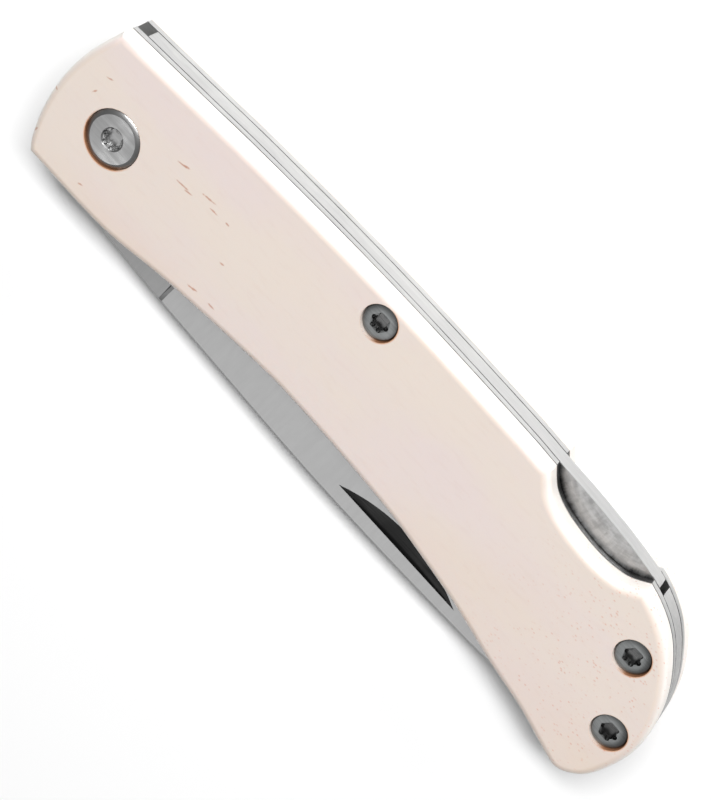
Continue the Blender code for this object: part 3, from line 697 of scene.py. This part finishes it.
def ring_group():
    """Stain round a hole: strongest at its rim, uneven round it, gone a little way out."""
    tree, given, out = new_group(
        "rim stain",
        [("Vector", "NodeSocketVector", None), ("Centre", "NodeSocketVector", None),
         ("Radius", "NodeSocketFloat", 0.003), ("Width", "NodeSocketFloat", 0.0005),
         ("Side", "NodeSocketVector", None)],
        [("Mask", "NodeSocketFloat"), ("Wall stain and shade", "NodeSocketFloat")])
    moved = put(tree, "ShaderNodeVectorMath", {0: given.outputs["Vector"], 1: given.outputs["Centre"]},
                operation="SUBTRACT").outputs[0]
    flat = put(tree, "ShaderNodeVectorMath", {0: moved, 1: (1, 1, 0)}, operation="MULTIPLY").outputs[0]
    reach = put(tree, "ShaderNodeVectorMath", {0: flat}, operation="LENGTH").outputs["Value"]
    past = calculate(tree, "SUBTRACT", reach, given.outputs["Radius"])
    share = calculate(tree, "DIVIDE", past, given.outputs["Width"])
    fade = between(tree, share, 0.0, 1.0, 1.0, 0.0)
    toward = put(tree, "ShaderNodeVectorMath", {0: flat}, operation="NORMALIZE").outputs[0]
    facing = put(tree, "ShaderNodeVectorMath", {0: toward, 1: given.outputs["Side"]},
                 operation="DOT_PRODUCT").outputs["Value"]
    uneven = noise(tree, given.outputs["Vector"], STAIN_UNEVEN_SCALE, 3.0)
    facing = calculate(tree, "ADD", facing, calculate(tree, "MULTIPLY", uneven, 0.8))
    mask = calculate(tree, "MULTIPLY", fade, between(tree, facing, 0.1, 1.1, 0.12, 1.0))
    tree.links.new(mask, out.inputs["Mask"])
    # Stain and painted shade on the hole's wall, leaning to its side.
    inside = between(tree, past, 0.0, WALL_STAIN_EDGE, 1.0, 0.0)
    inside = calculate(tree, "MULTIPLY", inside, between(tree, facing, 0.3, 1.1, 0.2, 1.0))
    tree.links.new(inside, out.inputs["Wall stain and shade"])
    return tree


STREAK = streak_group()
RIM_STAIN = ring_group()

# Vessel marks of each scale: place from the pivot and length in mm, turn in degrees.
FRONT_MARKS = [
    (-4.8, 5.4, 0.7, 20), (-5.2, 2.8, 0.5, 60), (-9.0, -1.0, 0.5, 10), (-7.7, -6.9, 0.6, 80),
    (0.6, -7.5, 0.5, 20), (8.1, 4.8, 1.0, 10), (8.6, 5.0, 0.8, 15), (9.6, 2.9, 1.4, 5),
    (10.7, 2.8, 0.8, 12), (13.0, 4.3, 1.5, 8), (14.4, 3.6, 0.9, 4), (18.4, -5.8, 0.8, 5),
    (19.0, -5.6, 0.6, 10), (21.7, -5.5, 0.9, 0), (19.2, -0.4, 0.6, 6), (16.6, 3.8, 0.5, 0),
]
REAR_MARKS = [
    (12.0, -6.0, 1.2, 5), (15.5, 2.5, 0.9, 10), (31.0, 6.5, 1.4, 3), (48.0, -4.0, 1.0, 8),
    (66.0, 4.0, 1.3, -4), (71.0, -8.0, 0.8, 2),
]


def bone_clouds(tree, shift):
    """Cream bone with faint pink and tan clouds; returns its colour and the clouds' value."""
    wide = place_coordinates(tree, PIVOT + Vector(shift), scale=CLOUD_STRETCH)
    clouds = noise(tree, wide, CLOUD_SCALE, 3.0, 0.55)
    soft = noise(tree, wide, TAN_SCALE, 2.0)
    color = blend_colors(tree, between(tree, clouds, 0.42, 0.72), (*BONE_CREAM, 1), (*BONE_PINK, 1))
    color = blend_colors(tree, between(tree, soft, 0.50, 0.74, 0.0, 0.75), color, (*BONE_TAN, 1))
    return color, clouds


def fringe_and_painted_light(tree, color):
    """A tan fringe where the rounding starts, and painted light: paler bone down the walls."""
    facing = put(tree, "ShaderNodeSeparateXYZ", {0: put(tree, "ShaderNodeTexCoord").outputs["Normal"]})
    upright = calculate(tree, "ABSOLUTE", facing.outputs["Z"])
    tan_fringe = calculate(tree, "MULTIPLY", between(tree, upright, 0.88, 0.98),
                       between(tree, upright, 0.985, 0.9999, 1.0, 0.0))
    color = blend_colors(tree, calculate(tree, "MULTIPLY", tan_fringe, 0.25), color, (*BONE_TAN, 1))
    # Painted light: the walls are paler, as if lit from the side.
    return blend_colors(tree, between(tree, upright, 0.55, 0.93, 1.0, 0.0), color, (*BONE_PAINTED_LIGHT, 1))


def bone_pores(tree, about_pivot, shift):
    """Fine oval pores, crowded in patches and thicker toward the butt."""
    oval = place_coordinates(tree, PIVOT + Vector(shift), scale=PORE_STRETCH)
    pores = put(tree, "ShaderNodeTexVoronoi", {"Vector": oval, "Scale": PORE_SCALE, "Randomness": 1.0})
    pits = between(tree, pores.outputs["Distance"], 0.10, 0.32, 1.0, 0.0)
    along = put(tree, "ShaderNodeSeparateXYZ", {0: about_pivot}).outputs["X"]
    toward_butt = between(tree, along, PORES_FROM, PORES_FULL, 0.06, 1.0)
    crowd = between(tree, noise(tree, about_pivot, CROWD_SCALE, 3.0, 0.7), 0.42, 0.60)
    return calculate(tree, "MULTIPLY", pits, calculate(tree, "MULTIPLY", crowd, toward_butt))


def draw_marks(tree, color, about_pivot, marks):
    """Lay the vessel marks over a colour."""
    for x, y, length, turn in marks:
        mark = put(tree, "ShaderNodeGroup", {}, node_tree=STREAK)
        tree.links.new(about_pivot, mark.inputs["Vector"])
        mark.inputs["Centre"].default_value = (x * MM, y * MM, PIVOT.z)
        mark.inputs["Turn"].default_value = (0, 0, -math.radians(turn))
        mark.inputs["Size"].default_value = (length * MM, MARK_WIDTH, 1.0)
        strength = calculate(tree, "MULTIPLY", mark.outputs["Mask"], MARK_STRENGTH)
        color = blend_colors(tree, strength, color, (*VESSEL_BROWN, 1))
    return color


def stain_rims(tree, color, about_pivot, stains):
    """Lay the stain round each screw hole, and stain with painted shade on its wall, over a colour."""
    for centre, radius, side in stains:
        ring = put(tree, "ShaderNodeGroup", {}, node_tree=RIM_STAIN)
        tree.links.new(about_pivot, ring.inputs["Vector"])
        ring.inputs["Centre"].default_value = centre - PIVOT
        ring.inputs["Radius"].default_value = radius
        ring.inputs["Width"].default_value = STAIN_WIDTH
        ring.inputs["Side"].default_value = side
        strength = calculate(tree, "MULTIPLY", ring.outputs["Mask"], STAIN_STRENGTH)
        color = blend_colors(tree, strength, color, (*STAIN_BROWN, 1))
        color = blend_colors(tree, ring.outputs["Wall stain and shade"], color, (*WALL_STAIN_AND_SHADE, 1))
    return color


def bone_material(name, marks, stains, shift):
    """Polished bone: clouds, grain and pores all over, marks and stains at their own places."""
    made, tree, shader = new_material(name)
    about_pivot = place_coordinates(tree, PIVOT)
    color, clouds = bone_clouds(tree, shift)
    color = fringe_and_painted_light(tree, color)
    long = place_coordinates(tree, PIVOT + Vector(shift), scale=GRAIN_STRETCH)
    grain = noise(tree, long, GRAIN_SCALE, 4.0, 0.6)
    color = blend_colors(tree, between(tree, grain, 0.50, 0.75, 0.0, 0.04), color, (*VESSEL_BROWN, 1))
    pits = bone_pores(tree, about_pivot, shift)
    color = blend_colors(tree, calculate(tree, "MULTIPLY", pits, PORE_STRENGTH), color, (*PORE_ROSE, 1))
    color = draw_marks(tree, color, about_pivot, marks)
    color = stain_rims(tree, color, about_pivot, stains)
    height = calculate(tree, "SUBTRACT", calculate(tree, "MULTIPLY", grain, 0.3), pits)
    relief = put(tree, "ShaderNodeBump", {"Height": height, "Distance": 0.01 * MM, "Strength": 0.4})
    tree.links.new(color, shader.inputs["Base Color"])
    tree.links.new(between(tree, clouds, 0.3, 0.7, 0.40, 0.50), shader.inputs["Roughness"])
    tree.links.new(relief.outputs[0], shader.inputs["Normal"])
    shader.inputs["IOR"].default_value = 1.5
    shader.inputs["Subsurface Weight"].default_value = 0.08
    shader.inputs["Subsurface Radius"].default_value = (1.0, 0.6, 0.4)
    shader.inputs["Subsurface Scale"].default_value = 0.6 * MM
    return made


def make_scale(side, marks, shift):
    """One scale, bored and counterbored for its four screws."""
    node = f"{side}_scale"
    low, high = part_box(node)
    out = 1 if side == "front" else -1
    inner, outer = (low.z, high.z) if out > 0 else (high.z, low.z)
    scale = plate(f"{side}_scale_bone", low.z, high.z)
    bpy.ops.object.mode_set(mode="EDIT")
    if side == "rear":
        corner_x = BAR_END - CORNER_FROM_BAR_END
        pick("EDGE", lambda edge: all(
            abs(v.co.x - corner_x) < 0.3 * MM and v.co.y > CORNER_ABOVE for v in edge.verts)
            and abs(edge.verts[0].co.z - edge.verts[1].co.z) > MM)
        bpy.ops.mesh.bevel(offset=CORNER_ROUND, segments=6, affect="EDGES", clamp_overlap=True)
    pick("EDGE", lambda edge: all(abs(v.co.z - outer) < PLANE_SLACK for v in edge.verts))
    bpy.ops.mesh.bevel(offset=SCALE_ROUNDING, offset_type="OFFSET", segments=SCALE_SEGMENTS,
                       profile=0.5, affect="EDGES", clamp_overlap=False)
    pick("EDGE", lambda edge: all(abs(v.co.z - inner) < PLANE_SLACK for v in edge.verts))
    bpy.ops.mesh.bevel(offset=INNER_BREAK, segments=2, affect="EDGES", clamp_overlap=True)
    bpy.ops.object.mode_set(mode="OBJECT")
    stains = []
    for name in ("pivot", "lock_bar", "upper_butt", "lower_butt"):
        screw = f"{side}_{name}_screw"
        centre = middle(screw)
        head = width(screw) / 2 + HEAD_GAP
        seat = head_underside(screw, out) - out * SEAT_GAP
        shank = shank_radius(screw) + HEAD_GAP
        subtract(scale, pins([centre], head, *sorted((seat, outer + out * MM))))
        subtract(scale, pins([centre], shank, *sorted((inner - out * MM, seat + out * MM))))
        bpy.ops.object.mode_set(mode="EDIT")
        pick("EDGE", lambda edge: all(
            abs(v.co.z - outer) < PLANE_SLACK and abs((v.co - centre).xy.length - head) < FINE_SLACK
            for v in edge.verts))
        bpy.ops.mesh.bevel(offset=RIM_BREAK, segments=2, affect="EDGES", clamp_overlap=True)
        bpy.ops.object.mode_set(mode="OBJECT")
        stains.append((centre, head, PIVOT_STAIN_SIDE if name == "pivot" else BODY_STAIN_SIDE))
    finish_shading(scale)
    dress(scale, bone_material(f"{side}_bone", marks, stains, shift))
    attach(scale, "handle")
    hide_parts(node)


def screw_corners(screw):
    """The (distance from the screw's axis, height) of every corner of a screw."""
    centre = middle(screw)
    return [((v.co - centre).xy.length, v.co.z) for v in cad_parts[screw].data.vertices]


def head_underside(screw, out):
    """Height of the face that a screw's head sits on."""
    widest = width(screw) / 2
    heights = [z for reach, z in screw_corners(screw) if reach > widest - FINE_SLACK]
    return min(heights) if out > 0 else max(heights)


def shank_radius(screw):
    """Radius of a screw below its head."""
    low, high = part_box(screw)
    end = low.z if screw.startswith("front") else high.z
    return max(reach for reach, z in screw_corners(screw) if abs(z - end) < FINE_SLACK)


make_scale("front", FRONT_MARKS, (0.0, 0.0, 0.0))
make_scale("rear", REAR_MARKS, (0.21, 0.13, 0.07))


# ---------------------------------------------------------------------------------------------
# Screws. Turned steel screws with six-lobed sockets, one from each side into every barrel. The
# pivot pair has wide bevelled heads, flush with the bone; the body screws are darker, slightly
# domed and sit just below it.
# ---------------------------------------------------------------------------------------------
PIVOT_LIGHT = (0.50, 0.50, 0.50)
PIVOT_DARK = (0.34, 0.34, 0.34)
SCREW_LIGHT = (0.30, 0.31, 0.31)
SCREW_DARK = (0.17, 0.175, 0.175)
SOCKET_LIGHT = (0.15, 0.15, 0.15)
SOCKET_DARK = (0.07, 0.07, 0.07)
SOCKET_STEEL = steel("socket_steel", SOCKET_LIGHT, SOCKET_DARK, PIVOT, roughness=0.3, bump=0.004,
                     patchy=0.6)
SCREW_EDGE_BREAK = 0.05 * MM
SCREW_BREAK_ANGLE = 25

# The sockets: six lobes about a core, as shares of the socket's radius and depth.
LOBES = 6
LOBE_REACH = 0.76
LOBE_RADIUS = 0.25
CORE_RADIUS = 0.76
CORE_DEPTH = 1.1
PIVOT_SOCKET_RADIUS = 1.45 * MM
PIVOT_SOCKET_DEPTH = 1.0 * MM
PIVOT_SOCKET_FLARE = 0.12 * MM
BODY_SOCKET_RADIUS = 1.25 * MM
BODY_SOCKET_DEPTH = 0.8 * MM

# The crowns: the head wall's height, then how far in and up each further ring goes.
PIVOT_CROWN = [
    (0, 1.40 * MM), (0.07 * MM, 0.06 * MM), (0.47 * MM, 0.22 * MM), (0.06 * MM, 0.02 * MM)]
BODY_CROWN = [
    (0, 1.10 * MM), (0.12 * MM, 0.10 * MM), (0.35 * MM, 0.06 * MM), (0.38 * MM, 0.03 * MM)]


def cut_socket(screw, centre, radius, top, depth):
    """Cut a six-lobed driver socket: six round lobes about a round core with a drilled floor."""
    turns = [2 * math.pi * i / LOBES for i in range(LOBES)]
    around = [centre + Vector((math.cos(a), math.sin(a), 0)) * radius * LOBE_REACH for a in turns]
    subtract(screw, pins(around, radius * LOBE_RADIUS, top - depth, top + MM))
    subtract(screw, pins([centre], radius * CORE_RADIUS, top - depth * CORE_DEPTH, top + MM))


def turned_screw(name, centre, shank, low, under, head, crown_steps):
    """A screw from its shank's end up: underside, head wall, and the rings of its crown."""
    bpy.ops.mesh.primitive_circle_add(vertices=ROUND_SIDES, radius=head, fill_type="NGON",
                                      location=(centre.x, centre.y, under))
    screw = bpy.context.object
    screw.name = name
    bpy.ops.object.transform_apply(location=True, rotation=True, scale=True)
    bpy.ops.object.mode_set(mode="EDIT")
    bpy.ops.mesh.select_mode(type="FACE")
    bpy.ops.mesh.select_all(action="SELECT")
    bpy.ops.mesh.extrude_region_move(TRANSFORM_OT_translate={"value": (0, 0, crown_steps[0][1])})
    for thickness, depth in crown_steps[1:]:
        bpy.ops.mesh.inset(thickness=thickness, depth=depth)
    bpy.ops.mesh.select_all(action="SELECT")
    bpy.ops.mesh.normals_make_consistent(inside=False)
    pick("FACE", lambda face: face.normal.z < -0.9)
    bpy.ops.mesh.inset(thickness=head - shank, depth=0)
    bpy.ops.mesh.extrude_region_move(TRANSFORM_OT_translate={"value": (0, 0, low - under)})
    bpy.ops.object.mode_set(mode="OBJECT")
    return screw


def countersink(centre, radius, flare, top):
    """A cone that opens a socket's mouth."""
    bpy.ops.mesh.primitive_cone_add(
        vertices=ROUND_SIDES, radius1=radius * 0.9, radius2=radius + 2 * flare, depth=2 * flare,
        location=(centre.x, centre.y, top))
    cone = bpy.context.object
    bpy.ops.object.transform_apply(location=True, rotation=True, scale=True)
    return cone


def make_screws(places, light, dark, crown_steps, socket, depth, flare=0.0):
    """The front and rear screws at several places; each rear one is the front one turned over."""
    for place in places:
        front, rear = f"front_{place}_screw", f"rear_{place}_screw"
        centre = middle(front)
        piece = turned_screw(f"{front}_turned", centre, shank_radius(front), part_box(front)[0].z,
                             head_underside(front, 1), width(front) / 2, crown_steps)
        top = max(v.co.z for v in piece.data.vertices)
        cut_socket(piece, centre, socket, top, depth)
        if flare:
            subtract(piece, countersink(centre, socket, flare, top))
        break_edges(piece, SCREW_EDGE_BREAK, SCREW_BREAK_ANGLE)
        finish_shading(piece)
        turned = steel(f"{place}_screw_steel", light, dark, centre, roughness=0.3, bump=0.004,
                       fineness=0.5, patchy=0.5)
        dress(piece, turned, SOCKET_STEEL)
        if not flare:
            dress_faces(piece, SOCKET_STEEL, lambda face: (face.center - centre).xy.length < socket
                        and top - 2 * depth < face.center.z < top - depth / 3)
        twin = bpy.data.objects.new(f"{rear}_turned", piece.data.copy())
        bpy.context.scene.collection.objects.link(twin)
        activate(twin)
        bpy.ops.object.mode_set(mode="EDIT")
        bpy.ops.mesh.select_all(action="SELECT")
        bpy.ops.transform.rotate(value=math.pi, orient_axis="X",
                                 center_override=(centre.x, centre.y, PIVOT.z))
        bpy.ops.object.mode_set(mode="OBJECT")
        for made, node in ((piece, front), (twin, rear)):
            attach(made, "handle")
            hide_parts(node)


make_screws(["pivot"], PIVOT_LIGHT, PIVOT_DARK, PIVOT_CROWN, PIVOT_SOCKET_RADIUS,
            PIVOT_SOCKET_DEPTH, PIVOT_SOCKET_FLARE)
make_screws(["lock_bar", "upper_butt", "lower_butt"], SCREW_LIGHT, SCREW_DARK, BODY_CROWN,
            BODY_SOCKET_RADIUS, BODY_SOCKET_DEPTH)


# ---------------------------------------------------------------------------------------------
# Floor, light and camera: a white sheet under the knife, a long strip light and a low one on the
# spine's side, a weak one above the belly's side, and a camera above the front scale.
# ---------------------------------------------------------------------------------------------
FLOOR_WHITE = (0.93, 0.93, 0.93)
FLOOR_SIZE = 6.0
FLOOR_DROP = 0.02 * MM
WORLD_STRENGTH = 0.2
CAMERA_PLACE = (0.00543, 0.14164, 0.22769)
CAMERA_TURN = (-22.71, 24.414, 42.175)
CAMERA_LENS = 101.376

bpy.ops.mesh.primitive_grid_add(x_subdivisions=8, y_subdivisions=8, size=FLOOR_SIZE,
                                location=(0, 0, -FLOOR_DROP))
floor = bpy.context.object
floor.name = "floor"
floor_white, floor_tree, floor_shader = new_material("floor_white")
floor_shader.inputs["Base Color"].default_value = (*FLOOR_WHITE, 1)
floor_shader.inputs["Roughness"].default_value = 0.9
floor_shader.inputs["Specular IOR Level"].default_value = 0.1
dress(floor, floor_white)

world = bpy.data.worlds.new("studio")
bpy.context.scene.world = world
world.use_nodes = True
background = world.node_tree.nodes["Background"]
background.inputs["Color"].default_value = (1.0, 1.0, 1.0, 1.0)
background.inputs["Strength"].default_value = WORLD_STRENGTH


def softbox(name, direction, distance, length, height, power):
    """A flat area light that faces the knife."""
    bpy.ops.object.light_add(type="AREA", location=Vector(direction).normalized() * distance)
    light = bpy.context.object
    light.name = name
    light.data.shape = "RECTANGLE"
    light.data.size = length
    light.data.size_y = height
    light.data.energy = power
    light.rotation_euler = (-light.location).to_track_quat("-Z", "Y").to_euler()


softbox("key_light", (0.0, 0.84, 1.0), distance=1.0, length=0.85, height=0.17, power=12.0)
softbox("spine_light", (0.1, 1.0, 0.26), distance=0.7, length=0.6, height=0.2, power=1.2)
softbox("belly_light", (0.0, -0.54, 0.84), distance=0.8, length=0.5, height=0.4, power=0.76)

bpy.ops.object.camera_add(location=CAMERA_PLACE)
camera = bpy.context.object
camera.rotation_euler = [math.radians(turn) for turn in CAMERA_TURN]
camera.data.lens = CAMERA_LENS
camera.data.sensor_width = 36.0
camera.data.clip_start = 0.01
bpy.context.scene.camera = camera
bpy.context.scene.view_settings.view_transform = "Standard"
